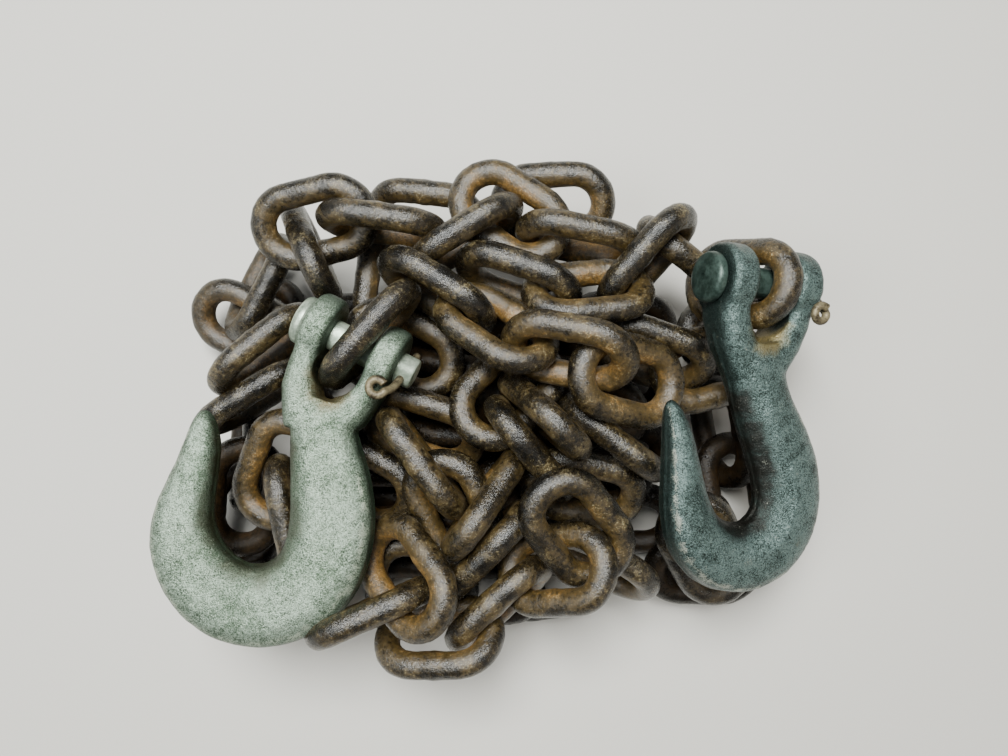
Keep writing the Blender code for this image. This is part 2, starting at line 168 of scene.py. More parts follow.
def putDown(thing, place):
    # Moves the mesh itself, so that the object stays at the origin.
    thing.data.transform(place)
    thing.data.update()


def smoothAll(thing):
    pick(thing)
    bpy.ops.object.shade_smooth()


def paint(thing, finish):
    thing.data.materials.clear()
    thing.data.materials.append(finish)


def closeUp(thing):
    # Welds the seams and turns every face outward.
    pick(thing)
    bpy.ops.object.mode_set(mode="EDIT")
    bpy.ops.mesh.select_all(action="SELECT")
    bpy.ops.mesh.remove_doubles(threshold=0.00001)
    bpy.ops.mesh.normals_make_consistent(inside=False)
    bpy.ops.object.mode_set(mode="OBJECT")


def addFloats(thing, name, values):
    layers = thing.data.attributes
    layer = layers.get(name) or layers.new(name, "FLOAT", "POINT")
    layer.data.foreach_set("value", np.asarray(values, np.float32))


def pointsOf(thing):
    flat = np.empty(len(thing.data.vertices) * 3, np.float32)
    thing.data.vertices.foreach_get("co", flat)
    return flat.reshape(-1, 3).astype(float)


def faceNormals(thing):
    mesh = thing.data
    normals = np.empty(len(mesh.polygons) * 3, np.float32)
    areas = np.empty(len(mesh.polygons), np.float32)
    mesh.polygons.foreach_get("normal", normals)
    mesh.polygons.foreach_get("area", areas)
    return normals.reshape(-1, 3).astype(float), areas.astype(float)


def pointNormals(thing):
    normals = np.empty(len(thing.data.vertices) * 3, np.float32)
    thing.data.vertex_normals.foreach_get("vector", normals)
    return normals.reshape(-1, 3).astype(float)


def toMatrix(middle, x, y, z):
    place = Matrix(np.column_stack([x, y, z]).tolist()).to_4x4()
    place.translation = Vector(np.asarray(middle).tolist())
    return place


def layFinish(name, base, attributes, noises, steps, coats, relief):
    # Lays a finish from its tables. A noise has the mm across one lump, its detail and roughness.
    # A step of two figures is value x share + rest, and one of four is a soft ramp from low and
    # high to bottom and top. The coats of colour go one over the other, each by its own share, over
    # the ground colour. Relief is the strength of the bump and its depth in mm.
    material, tree, shader = newMaterial(name, base)
    where = addNode(tree, "ShaderNodeTexCoord").outputs["Object"]
    fields = {"up": addNode(tree, "ShaderNodeSeparateXYZ", {}, {"Vector": where}).outputs["Z"]}
    for field in attributes:
        fields[field] = addNode(tree, "ShaderNodeAttribute", {"attribute_name": field}).outputs["Fac"]
    for field, (across, detail, rough) in noises.items():
        settings = {"Scale": 1000 / across, "Detail": detail, "Roughness": rough}
        fields[field] = addNode(tree, "ShaderNodeTexNoise", settings, {"Vector": where}).outputs["Fac"]
    for field, value, *how in steps:
        if len(how) == 4:
            settings = {"interpolation_type": "SMOOTHSTEP"}
            settings.update(zip(("From Min", "From Max", "To Min", "To Max"), how))
            node = addNode(tree, "ShaderNodeMapRange", settings, {"Value": fields[value]})
            fields[field] = node.outputs["Result"]
            continue
        share, rest = how
        settings, links = {"operation": "MULTIPLY_ADD", 1: share}, {0: fields[value]}
        if isinstance(rest, str):
            links[2] = fields[rest]
        else:
            settings[2] = rest
        fields[field] = addNode(tree, "ShaderNodeMath", settings, links).outputs[0]
    ground, *coats = coats
    colour = None
    for code, share in coats:
        settings, links = {"data_type": "RGBA", 7: hexToLinear(code)}, {0: fields[share]}
        if colour is None:
            settings[6] = hexToLinear(ground)
        else:
            links[6] = colour
        colour = addNode(tree, "ShaderNodeMix", settings, links).outputs[2]
    tree.links.new(colour, shader.inputs["Base Color"])
    for field, socket in (("rough", "Roughness"), ("metal", "Metallic")):
        if field in fields:
            tree.links.new(fields[field], shader.inputs[socket])
    settings = {"Strength": relief[0], "Distance": relief[1] * mm}
    bump = addNode(tree, "ShaderNodeBump", settings, {"Height": fields["height"]})
    tree.links.new(bump.outputs["Normal"], shader.inputs["Normal"])
    return material


chainLook = {
    "top": {
        "dark": "#0d0b07", "brown": "#2b2313", "rust": "#4b3b1a", "ochre": "#805e28", "dust": "#b3a983",
        "shine": 1.0, "metal": 0.3,
    },
    # painted shade: a darker copy of the same steel, with less sheen, for the hidden links low in the
    # heap
    "deep": {
        "dark": "#0c0a07", "brown": "#1e170e", "rust": "#382914", "ochre": "#5a4020", "dust": "#4f4836",
        "shine": 0.3, "metal": 0.0,
    },
    "noises": {  # mm across, detail, roughness
        "patch": (8.0, 5.0, 0.62),  # one patch of rust
        "mottle": (1.5, 6.0, 0.68),
        "grit": (0.42, 3.0, 0.6),
        "pits": (0.6, 4.0, 0.62),
    },
    # painted shade on the lower links: full at the lower height, none at the higher
    "paintedShadeLow": 14.0,  # mm above the floor
    "paintedShadeHigh": 58.0,
    "relief": (0.5, 0.4),
}


def makeChainSteel(depth):
    # Forged carbon steel, welded and left bare: black scale where it rubs, brown and orange rust in
    # the hollows, dry dirt in the pits. The rubbed tops are smooth enough to give soft highlights.
    # depth picks the look: top, or deep, the darker copy that is painted shade
    look = chainLook[depth]
    steps = [
        # how rusty: patches, more on the inside of the ring, and more on some links than on others
        ("rustyInside", "hollow", 0.36, "patch"),
        ("rustyLink", "tone", 0.16, "rustyInside"),
        ("rusty", "mottle", 0.75, "rustyLink"),
        ("brown", "rusty", 0.80, 1.02, 0, 1),
        ("rust", "rusty", 0.98, 1.22, 0, 1),
        ("ochre", "rusty", 1.22, 1.50, 0, 1),
        # dry dirt in specks and smears, mostly where the mottling is high, and black pits
        ("dirtFine", "mottle", 0.4, "grit"),
        ("dirt", "patch", 0.5, "dirtFine"),
        ("dust", "dirt", 1.08, 1.20, 0, 0.75),
        ("pitted", "mottle", 0.35, "grit"),
        ("pit", "pitted", 0.62, 0.52, 0, 0.85),
        # painted shade: links lower in the heap are painted darker, toward the dark colour, by their
        # height
        ("shade", "up", chainLook["paintedShadeLow"] * mm, chainLook["paintedShadeHigh"] * mm, 0.6, 0),
        ("roughBare", "rusty", 0.8, 1.4, 0.20, 0.44),
        ("roughDusty", "dust", 0.25, "roughBare"),
        ("rough", "pit", 0.2, "roughDusty"),
        ("height", "mottle", 1.8, "pits"),
    ]
    if look["metal"]:
        steps.append(("metal", "rusty", 0.75, 1.2, look["metal"], 0))
    coats = [look["dark"]] + [(look[coat], coat) for coat in ("brown", "rust", "ochre", "dust")]
    # dark pits, then the painted shade low in the heap
    coats += [(look["dark"], "pit"), (look["dark"], "shade")]
    return layFinish(
        "rustyForgedSteel_" + depth, {"Specular IOR Level": look["shine"]}, ("hollow", "tone"),
        chainLook["noises"], steps, coats, chainLook["relief"],
    )


# green: the colour of the tarnish and of the painted shade on the sides of each hook
zincLook = {
    "left": {
        "mid": "#51654f", "pale": "#abbcaa", "green": "#2f4432", "brown": "#6b5b38",
        "smear": "#35341f", "scuff": "#bfcbb6", "dark": "#1c2117", "smearTop": 0.75, "rough": 0.33,
    },
    "right": {
        "mid": "#2b3b37", "pale": "#7b918d", "green": "#1f2c28", "brown": "#8a7a4c",
        "smear": "#17130d", "scuff": "#a9ada0", "dark": "#10130f", "smearTop": 0.92, "rough": 0.30,
    },
    "noises": {
        "cloud": (17.0, 5.0, 0.6),
        "mottle": (4.2, 5.0, 0.66),
        "grain": (0.8, 4.0, 0.62),  # the spangle of the plating
        "speck": (0.4, 3.0, 0.7),
    },
    "metal": 0.6,
    "relief": (0.55, 0.5),
}


def makeZincPlate(side):
    # Drop forged steel under old zinc plating: a dull mint grey with fine dark specks where the plating
    # has gone, green tarnish and painted shade on the rolled edges that turn from facing up, and a
    # rough forged skin under it all.
    look = zincLook[side]
    steps = [
        ("baseFine", "speck", 1.1, "grain"),
        ("baseBroad", "mottle", 0.5, "baseFine"),
        ("base", "cloud", 0.8, "baseBroad"),
        ("paleShare", "base", 1.40, 2.02, 0, 1),
        # green tarnish and painted shade: greener and darker where the surface turns from facing up
        ("greenTarnishAndShade", "cloud", 0.9, "edge"),
        ("green", "mottle", 0.9, "greenTarnishAndShade"),
        ("greenShare", "green", 0.95, 1.9, 0, 0.9),
        ("brownBroad", "mottle", 0.7, "cloud"),
        ("brown", "saddle", 1.0, "brownBroad"),
        ("brownShare", "brown", 1.02, 1.6, 0, 0.85),
        ("smearBroad", "mottle", 0.5, "cloud"),
        ("smearFine", "grain", 0.5, "smearBroad"),
        ("smeared", "smear", 0.42, "smearFine"),
        ("smearShare", "smeared", 1.12, 1.5, 0, look["smearTop"]),
        ("scuffFine", "speck", 0.9, "mottle"),
        ("scuffed", "scuff", 0.26, "scuffFine"),
        ("scuffShare", "scuffed", 1.14, 1.26, 0, 0.8),
        ("specks", "mottle", 0.35, "speck"),
        ("darkShare", "specks", 0.64, 0.55, 0, 0.8),
        ("roughBare", "grain", 0.3, look["rough"] - 0.12),
        ("rough", "darkShare", 0.25, "roughBare"),
        ("skin", "mottle", 1.6, "grain"),
        ("height", "speck", 0.5, "skin"),
    ]
    layers = ("pale", "green", "brown", "smear", "scuff", "dark")
    coats = [look["mid"]] + [(look[layer], layer + "Share") for layer in layers]
    return layFinish(
        "zincPlatedForging_" + side, {"Metallic": zincLook["metal"]},
        ("edge", "saddle", "smear", "scuff"), zincLook["noises"], steps, coats, zincLook["relief"],
    )


plainLook = {"noises": {"grain": (0.8, 5.0, 0.65), "cloud": (5.0, 4.0, 0.6)}, "relief": (0.3, 0.3)}


def makePlainMetal(name, dark, light, metal, rough):
    # Turned or drawn steel: even, with a faint grain and a little dirt.
    steps = [
        ("base", "grain", 0.5, "cloud"),
        ("lightShare", "base", 0.58, 0.92, 0, 1),
        ("rough", "grain", 0.3, rough - 0.15),
        ("height", "grain", 1.0, 0.0),
    ]
    coats = [dark, (light, "lightShare")]
    base = {"Metallic": metal}
    return layFinish(name, base, (), plainLook["noises"], steps, coats, plainLook["relief"])


linkLook = {
    "wire": 10.0,  # mm
    "insideLong": 31.0,
    "insideWide": 14.0,
    "sides": 26,
    "endSteps": 26,
    "limbSteps": 10,
    "weldSwell": 1.05,  # the welded middle of one limb stands a little proud
    "weldHalf": 2.4,
    "lumpHigh": 0.5,  # how far the lumps and scales of the skin stand out
    "scaleHigh": 0.4,
}
forgedSkin = {"forgedLumps": 7.0, "rustScales": 2.2}  # mm across
skinTextures = {}
for name, across in forgedSkin.items():
    skinTextures[name] = bpy.data.textures.new(name, "CLOUDS")
    skinTextures[name].noise_scale = across * mm


def roughen(thing, look):
    # The uneven skin of forged and rusted steel.
    for name, high in (("forgedLumps", look["lumpHigh"]), ("rustScales", look["scaleHigh"])):
        addModifier(
            thing, "DISPLACE", texture=skinTextures[name], texture_coords="LOCAL",
            strength=high * mm, mid_level=0.5,
        )


def modelLink():
    look = linkLook
    half = (look["insideLong"] - look["insideWide"]) / 2 * mm
    radius = (look["insideWide"] + look["wire"]) / 2 * mm
    deselectAll()
    bpy.ops.mesh.primitive_circle_add(
        vertices=look["sides"], radius=look["wire"] / 2 * mm,
        location=(-half, -radius, 0), rotation=(0, math.pi / 2, 0),
    )
    link = bpy.context.object
    link.name = link.data.name = "linkPattern"
    bpy.ops.object.transform_apply(location=True, rotation=True, scale=True)
    bpy.ops.object.mode_set(mode="EDIT")
    bpy.ops.mesh.select_all(action="SELECT")
    for way in (1, -1):
        step = (way * 2 * half / look["limbSteps"], 0, 0)
        for _ in range(look["limbSteps"]):
            bpy.ops.mesh.extrude_region_move(TRANSFORM_OT_translate={"value": step})
        end = (way * half, 0, 0)
        bpy.ops.mesh.spin(steps=look["endSteps"], angle=-math.pi, center=end, axis=(0, 0, 1))
    bpy.ops.object.mode_set(mode="OBJECT")
    closeUp(link)
    # the weld: rings of the far limb near its middle swell a little
    spots = pointsOf(link)
    weldHalf = look["weldHalf"] * mm
    weld = (spots[:, 1] < -0.55 * radius) & (abs(spots[:, 0]) < weldHalf)
    for x in sorted(set(np.round(spots[weld, 0], 6))):
        swell = 1 + (look["weldSwell"] - 1) * math.cos(x / weldHalf * math.pi / 2)
        ring = (abs(spots[:, 0] - x) < 1e-6) & (spots[:, 1] < 0)
        spots[ring, 1] = -radius + (spots[ring, 1] + radius) * swell
        spots[ring, 2] *= swell
    link.data.vertices.foreach_set("co", spots.astype(np.float32).ravel())
    # hollow: 1 on the inside of the ring, 0 on the outside
    inner = np.clip(spots[:, 0], -half, half)
    core = np.column_stack([inner, np.zeros_like(inner), np.zeros_like(inner)])
    out = spots - core
    out[:, 2] = 0
    straight = abs(spots[:, 0]) <= half
    out[straight, 0] = 0
    out /= np.maximum(np.linalg.norm(out, axis=1), 1e-9)[:, None]
    middle = core + out * radius
    away = ((spots - middle) * out).sum(1) / (look["wire"] / 2 * mm)
    addFloats(link, "hollow", np.clip(0.5 - 0.5 * away, 0, 1))
    return link


def linkPlace(node):
    # The middle and the three directions of a link, from its CAD node.
    spots = np.unique(np.round(pointsOf(node), 6), axis=0)
    middle = spots.mean(0)
    values, ways = np.linalg.eigh(np.cov((spots - middle).T))
    x, y = ways[:, 2], ways[:, 1]
    x = x if x[0] > 0 else -x
    y = y if np.cross(x, y)[2] > 0 else -y
    return middle, x, y, np.cross(x, y)


def copyLink(pattern, name, place, seed, finish):
    link = pattern.copy()
    link.data = pattern.data.copy()
    link.name = link.data.name = name
    bpy.context.scene.collection.objects.link(link)
    # the weld lies on the other limb, or the other face is up, on every second link
    flip = Matrix.Rotation(math.pi * (seed % 2), 4, "Z")
    flip = flip @ Matrix.Rotation(math.pi * (seed // 2 % 2), 4, "X")
    putDown(link, toMatrix(*place) @ flip)
    roughen(link, linkLook)
    applyModifiers(link)
    smoothAll(link)
    tone = (seed * 0.6180339) % 1  # how rusty this link is, spread evenly over the links
    addFloats(link, "tone", np.full(len(link.data.vertices), tone))
    paint(link, finish)
    return link


chainSteel = makeChainSteel("top")
pattern = modelLink()
linkNodes = sorted(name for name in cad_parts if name.startswith("link_"))
for number, name in enumerate(linkNodes):
    place = linkPlace(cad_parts[name])
    link = copyLink(pattern, "chainLink_" + name[5:], place, number, chainSteel)
    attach(link, "root")
    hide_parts(name)
print("links in view", len(linkNodes))


# The two hooks. Stations run along the middle of the bowl, from the waist round to the tip:
# x, y, width and thickness in mm, seen flat, from the middle of the pin. earOut and pinEnd are how
# far an ear and the plain end of the pin reach. Past the ridge (a share of half the bar's width)
# the face falls away by the share in fall, and left of -clean there is no grease in the throat.
hookShape = {
    "left": {
        "bowl": [
            (1.4, -22.0, 25, 17), (2.2, -28.0, 23.2, 17.5), (4.0, -33.2, 22.8, 18),
            (8.9, -40.4, 25.6, 18), (15.6, -48.6, 29, 18), (21.0, -57.6, 30, 18),
            (25.0, -67.4, 30.2, 18), (26.8, -77.2, 30.2, 18), (24.6, -86.6, 29.6, 18),
            (19.6, -93.9, 29.1, 18), (12.3, -99.4, 28.4, 18), (3.6, -101.9, 27.8, 18),
            (-5.7, -101.5, 27.0, 18), (-14.4, -97.8, 25.6, 18), (-20.9, -92.4, 24.2, 17.6),
            (-25.0, -87.0, 22.4, 17), (-27.7, -80.8, 20.0, 16.4), (-29.3, -73.0, 17.0, 15.4),
            (-30.7, -64.2, 14.6, 14), (-32.7, -56.8, 12.4, 12.4), (-35.4, -51.0, 9.8, 10.4),
            (-37.3, -47.6, 6.6, 7.4), (-38.2, -46.0, 2.6, 3),
        ],
        "earOut": 18.2, "bossHalf": 13.2, "pinEnd": 24.8, "headWide": 9.2,
        "ridge": 0.45, "fall": 0.10, "clean": 40,
    },
    "right": {
        "bowl": [
            (-0.6, -22.0, 25, 17), (-0.4, -29.0, 22.6, 17.5), (1.4, -36.7, 22.2, 18),
            (5.0, -45.2, 22.6, 18), (9.6, -52.8, 24.4, 18), (14.2, -60.2, 26.0, 18),
            (17.8, -67.6, 27.0, 18), (20.0, -75.4, 26.6, 18), (20.6, -83.0, 26.4, 18),
            (18.6, -90.8, 26.6, 18), (13.2, -98.0, 26.2, 18), (5.0, -102.0, 25.6, 18),
            (-4.0, -102.4, 24.6, 18), (-11.2, -100.2, 24.0, 18), (-16.8, -96.2, 22.8, 17.6),
            (-20.8, -91.0, 20.8, 17), (-23.6, -84.2, 18.2, 16.2), (-25.7, -75.8, 15.4, 15.2),
            (-27.4, -66.6, 12.8, 13.8), (-29.2, -57.4, 10.4, 12), (-31.6, -50.8, 8.0, 9.6),
            (-33.2, -47.4, 5.4, 6.6), (-34.0, -45.6, 2.4, 3),
        ],
        "earOut": 19.6, "bossHalf": 13.3, "pinEnd": 25.6, "headWide": 9.3,
        "ridge": 0.12, "fall": 0.30, "clean": 20,
    },
    # x, y, width and thickness of an ear's foot, then the same for its top, where x is the shift
    # from the middle of the ear and the width is what it has over the plain ear
    "earFoot": [(3.4, -35, 13, 15), (6.6, -28, 14.4, 16.6), (10.2, -21.5, 14.2, 18)],
    "earTop": [(-0.9, -14, 2, 19.4), (0, -7, 0.6, 21), (0, 0, 0, 22), (0, 5, 0, 20)],
    "bowlCorners": 0.37, "earCorners": 0.40,  # how round, as a share of the width
    "bowlParts": 4,  # stops from one station to the next
    "bossEdge": 2.6,
    "slotHalf": 8.5, "slotMiddle": -11.5, "cutLong": 40.0, "cutHigh": 60.0,
    "voxel": 0.62,  # mm, the mesh that melts the forms together
    "softenJoined": 14, "softenCut": 7,  # passes of smoothing, before and after the slot is cut
    "rimHigh": 0.5, "rimHalf": 1.1,  # the forging's parting line
    "lumpHigh": 0.4, "scaleHigh": 0.22,
}
wearLook = {
    "waist": -34.0, "waistSoft": 8.0,  # mm, where the ridge fades out toward the ears
    "rimTop": -20.0,
    "saddleAt": -18.0, "saddleHalf": 13.0,
    "greaseFrom": 0.3, "greaseOver": 0.5, "greaseSoft": 8.0,
    "scuffAt": -0.82, "scuffHalf": 0.16,
}


def hookPlace(side):
    # The middle of the pin and the three directions of a hook, from its CAD nodes.
    pin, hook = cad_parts["pin_" + side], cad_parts["hook_" + side]
    spots = pointsOf(pin)
    middle = spots.mean(0)
    values, ways = np.linalg.eigh(np.cov((spots - middle).T))
    x = ways[:, 2]
    along = (spots - middle) @ x
    across = np.linalg.norm(spots - middle - np.outer(along, x), axis=1)
    if across[along > 0].max() > across[along < 0].max():
        x = -x
        along = -along
    start = middle + x * (along.min() + pinShape["headToMiddle"] * mm)
    normals, areas = faceNormals(hook)
    values, ways = np.linalg.eigh((normals * areas[:, None]).T @ normals)
    z = ways[:, 2] - x * (ways[:, 2] @ x)
    z /= np.linalg.norm(z)
    y = np.cross(z, x)
    if y @ (pointsOf(hook).mean(0) - start) > 0:
        z, y = -z, -y
    return start, x, y, z


def modelEar(look, way):
    # One ear with the round boss about the pin, on the side that way gives.
    out, slotHalf = look["earOut"], hookShape["slotHalf"]
    spot, wide = (out + slotHalf) / 2, out - slotHalf
    stations = [(way * x, y, across, high) for x, y, across, high in hookShape["earFoot"]]
    stations += [(way * (spot + x), y, wide + more, high) for x, y, more, high in hookShape["earTop"]]
    ear = drawBar("ear", stations, corners=hookShape["earCorners"])
    deselectAll()
    bpy.ops.mesh.primitive_cylinder_add(
        vertices=72, radius=look["bossHalf"] * mm, depth=wide * mm,
        location=(way * spot * mm, 0, 0), rotation=(0, math.pi / 2, 0),
    )
    boss = bpy.context.object
    bpy.ops.object.transform_apply(location=True, rotation=True, scale=True)
    edge = {"width": hookShape["bossEdge"] * mm, "angle_limit": math.radians(60)}
    addModifier(boss, "BEVEL", segments=4, limit_method="ANGLE", **edge)
    applyModifiers(boss)
    return [ear, boss]


def blend(hook, passes):
    # Melts the joined forms into one skin, as the forging die does.
    pick(hook)
    hook.data.remesh_voxel_size = hookShape["voxel"] * mm
    bpy.ops.object.voxel_remesh()
    addModifier(hook, "SMOOTH", factor=0.5, iterations=passes)


def cutSlot(hook):
    # The slot between the ears: a drum and a block taken out together.
    half, middle = hookShape["slotHalf"] * mm, hookShape["slotMiddle"] * mm
    long, high = hookShape["cutLong"] * mm, hookShape["cutHigh"] * mm
    deselectAll()
    bpy.ops.mesh.primitive_cylinder_add(
        vertices=64, radius=half, depth=high, location=(0, middle, 0)
    )
    drum = bpy.context.object
    deselectAll()
    bpy.ops.mesh.primitive_cube_add(
        size=1, location=(0, middle + long / 2, 0), scale=(2 * half, long, high)
    )
    block = bpy.context.object
    for cutter in (drum, block):
        addModifier(hook, "BOOLEAN", operation="DIFFERENCE", object=cutter, solver="EXACT")
    applyModifiers(hook)
    for cutter in (drum, block):
        bpy.data.objects.remove(cutter)


def wearHook(hook, look):
    # The ridge and the parting line of the bowl, and the values that its finish reads.
    spots, normals = pointsOf(hook), pointNormals(hook)
    # share: -1 at the outer edge of the bar, 0 along its middle, 1 at the edge of the throat
    route = np.array(softStations(look["bowl"], hookShape["bowlParts"])) * mm
    nearest = np.array([np.hypot(*(route[:, :2] - spot[:2]).T).argmin() for spot in spots])
    ways = np.gradient(route[:, :2], axis=0)
    ways /= np.linalg.norm(ways, axis=1)[:, None]
    off = spots[:, :2] - route[nearest, :2]
    turned = off[:, 0] * ways[nearest, 1] - off[:, 1] * ways[nearest, 0]
    share = turned / (route[nearest, 2] / 2)
    wear = wearLook
    below = np.clip((wear["waist"] * mm - spots[:, 1]) / (wear["waistSoft"] * mm), 0, 1)
    # the faces fall away toward the throat from a soft ridge
    inward = np.clip((share - look["ridge"]) / (1 - look["ridge"]), 0, 1)
    spots[:, 2] *= 1 - below * look["fall"] * inward
    # the parting line: a low rim half way up the sides of the bowl and shank
    rim = np.clip(1 - (spots[:, 2] / (hookShape["rimHalf"] * mm)) ** 2, 0, 1)
    rim = rim * (spots[:, 1] < wear["rimTop"] * mm)
    spots += normals * (rim * hookShape["rimHigh"] * mm)[:, None]
    hook.data.vertices.foreach_set("co", spots.astype(np.float32).ravel())
    x, y, z = (spots * 1000).T
    # edge: how far the surface turns from facing up, where the finish paints shade and green tarnish
    addFloats(hook, "edge", np.clip(1 - abs(normals[:, 2]), 0, 1))
    toSaddle = np.hypot(x, y - wear["saddleAt"]) / wear["saddleHalf"]
    addFloats(hook, "saddle", np.clip(1 - toSaddle, 0, 1))
    # grease and rust along the edge of the throat, scuffs along the rounding of the outer edge
    greased = np.clip((share - wear["greaseFrom"]) / wear["greaseOver"], 0, 1)
    greased = greased * np.clip((x + look["clean"]) / wear["greaseSoft"], 0, 1)
    addFloats(hook, "smear", greased * below)
    scuffed = np.clip(1 - abs(share - wear["scuffAt"]) / wear["scuffHalf"], 0, 1)
    addFloats(hook, "scuff", scuffed * below)


def modelHook(side, place, finish):
    look = hookShape[side]
    bowl = softStations(look["bowl"], hookShape["bowlParts"])
    hook = drawBar("forgedHook_" + side, bowl, corners=hookShape["bowlCorners"])
    joinTo(hook, modelEar(look, 1) + modelEar(look, -1))
    closeUp(hook)
    blend(hook, hookShape["softenJoined"])
    applyModifiers(hook)
    cutSlot(hook)
    blend(hook, hookShape["softenCut"])
    roughen(hook, hookShape)
    applyModifiers(hook)
    smoothAll(hook)
    wearHook(hook, look)
    putDown(hook, toMatrix(*place))
    paint(hook, finish)
    return hook


pinShape = {
    "shaft": 5.75, "sides": 48, "edge": 0.3,
    "headToMiddle": 26.3,
    "headGap": 0.25, "neck": 0.1,  # mm from the ear to the head, and from there to the full shaft
    # how far the head stands off the ear at each stop, and its share of the full width there
    "head": [
        (4.6, 0.1), (4.6, 0.54), (4.4, 0.76), (3.9, 0.9), (3.0, 0.98), (2.0, 1), (0.9, 1),
        (0.15, 0.94), (0.05, 0.62),
    ],
    # how far each stop lies before the plain end, and its width against the shaft's radius
    "tip": [(1.0, 2), (0.3, 1.88), (0, 1.6)],
    # the rings in the middle of the head: how wide each is against the last, and how deep in mm
    "rings": [(5.2, 0), (1.0, 0.45), (0.72, 0), (0.8, -0.4), (0.6, 0.35)],
}


def modelPin(side, place, finish):
    look = hookShape[side]
    out, shaft = look["earOut"] + pinShape["headGap"], pinShape["shaft"]
    stops = [(-out - x, 2 * look["headWide"] * share) for x, share in pinShape["head"]]
    stops.append((-out + pinShape["neck"], 2 * shaft))
    stops += [(look["pinEnd"] - back, wide * shaft) for back, wide in pinShape["tip"]]
    # a hair between stops that stand at one place keeps the bar running one way
    stations = [(x + 0.001 * k, 0, wide, wide) for k, (x, wide) in enumerate(stops)]
    pin = drawBar("clevisPin_" + side, stations, sides=pinShape["sides"])
    # the rings that the forging tool left in the middle of the head
    bpy.ops.object.mode_set(mode="EDIT")
    bpy.ops.mesh.select_all(action="DESELECT")
    bpy.ops.object.mode_set(mode="OBJECT")
    face = min(pin.data.polygons, key=lambda face: face.center.x)
    face.select = True
    bpy.ops.object.mode_set(mode="EDIT")
    bpy.ops.mesh.select_mode(type="FACE")
    for share, deep in pinShape["rings"]:
        bpy.ops.mesh.extrude_region_move(TRANSFORM_OT_translate={"value": (deep * mm, 0, 0)})
        bpy.ops.transform.resize(value=(1, share, share))
    bpy.ops.object.mode_set(mode="OBJECT")
    closeUp(pin)
    edge = {"width": pinShape["edge"] * mm, "angle_limit": math.radians(30)}
    addModifier(pin, "BEVEL", segments=2, limit_method="ANGLE", **edge)
    applyModifiers(pin)
    pick(pin)
    bpy.ops.object.shade_smooth_by_angle(angle=math.radians(40))
    putDown(pin, toMatrix(*place))
    paint(pin, finish)
    return pin


cotterShape = {
    "lean": 40.0, "wire": 1.5, "offEar": 2.9,
    "leg": (-10.5, -3, 6, 12.2),  # stops along the straight part, in mm from the clevis pin
    "eye": 2.9, "eyeUp": 15.2, "eyeShift": (-4.6, 0, 1.0),
    "eyeTurn": 5.4, "eyeStops": 12,  # radians, most of a turn, and the points along it
    "eyeRise": 0.2,  # mm in each radian
}


def modelCotter(side, place, finish):
    look = cotterShape
    lean = math.radians(look["lean"])
    leg = Vector((0, -math.sin(lean), math.cos(lean)))
    middle = Vector((hookShape[side]["earOut"] + look["offEar"], 0, 0))
    eye, ring = middle + leg * look["eyeUp"] + Vector(look["eyeShift"]), look["eye"]
    route = [middle + leg * stop for stop in look["leg"]]
    for a in np.linspace(0, look["eyeTurn"], look["eyeStops"]):
        spot = Vector((ring * math.cos(a), -ring * math.sin(a), look["eyeRise"] * a))
        route.append(eye + spot)
    deselectAll()
    bpy.ops.curve.primitive_nurbs_path_add()
    wire = bpy.context.object
    wire.data.splines.clear()
    spline = wire.data.splines.new("NURBS")
    spline.points.add(len(route) - 1)
    for point, spot in zip(spline.points, route):
        point.co = (*(spot * mm), 1)
    spline.order_u = 3
    spline.use_endpoint_u = True
    wire.data.bevel_depth = look["wire"] * mm
    wire.data.bevel_resolution = 4
    wire.data.use_fill_caps = True
    wire.name = wire.data.name = "cotterPin_" + side
    pick(wire)
    bpy.ops.object.convert(target="MESH")
    closeUp(wire)
    smoothAll(wire)
    putDown(wire, toMatrix(*place))
    paint(wire, finish)
    return wire


# Turned pins, zinc plated once, the right one worn dull, and rusty drawn wire for the cotters.
pinSteel = {
    "left": makePlainMetal("brightPinSteel", "#8d9c8a", "#c3cfbc", 0.5, 0.36),
    "right": makePlainMetal("dullPinSteel", "#26352f", "#485a53", 0.45, 0.40),
}
cotterSteel = makePlainMetal("rustyCotterSteel", "#2b2014", "#8b8064", 0.4, 0.5)
for side in ("left", "right"):
    place = hookPlace(side)
    pieces = [
        (modelHook(side, place, makeZincPlate(side)), "hook_" + side, "zinc_plate"),
        (modelPin(side, place, pinSteel[side]), "pin_" + side, "pin_steel"),
        (modelCotter(side, place, cotterSteel), "cotter_" + side, "cotter_steel"),
    ]
    for piece, node, slot in pieces:
        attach(piece, "root")
        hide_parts(node)
    print("hook, clevis pin and cotter pin,", side)


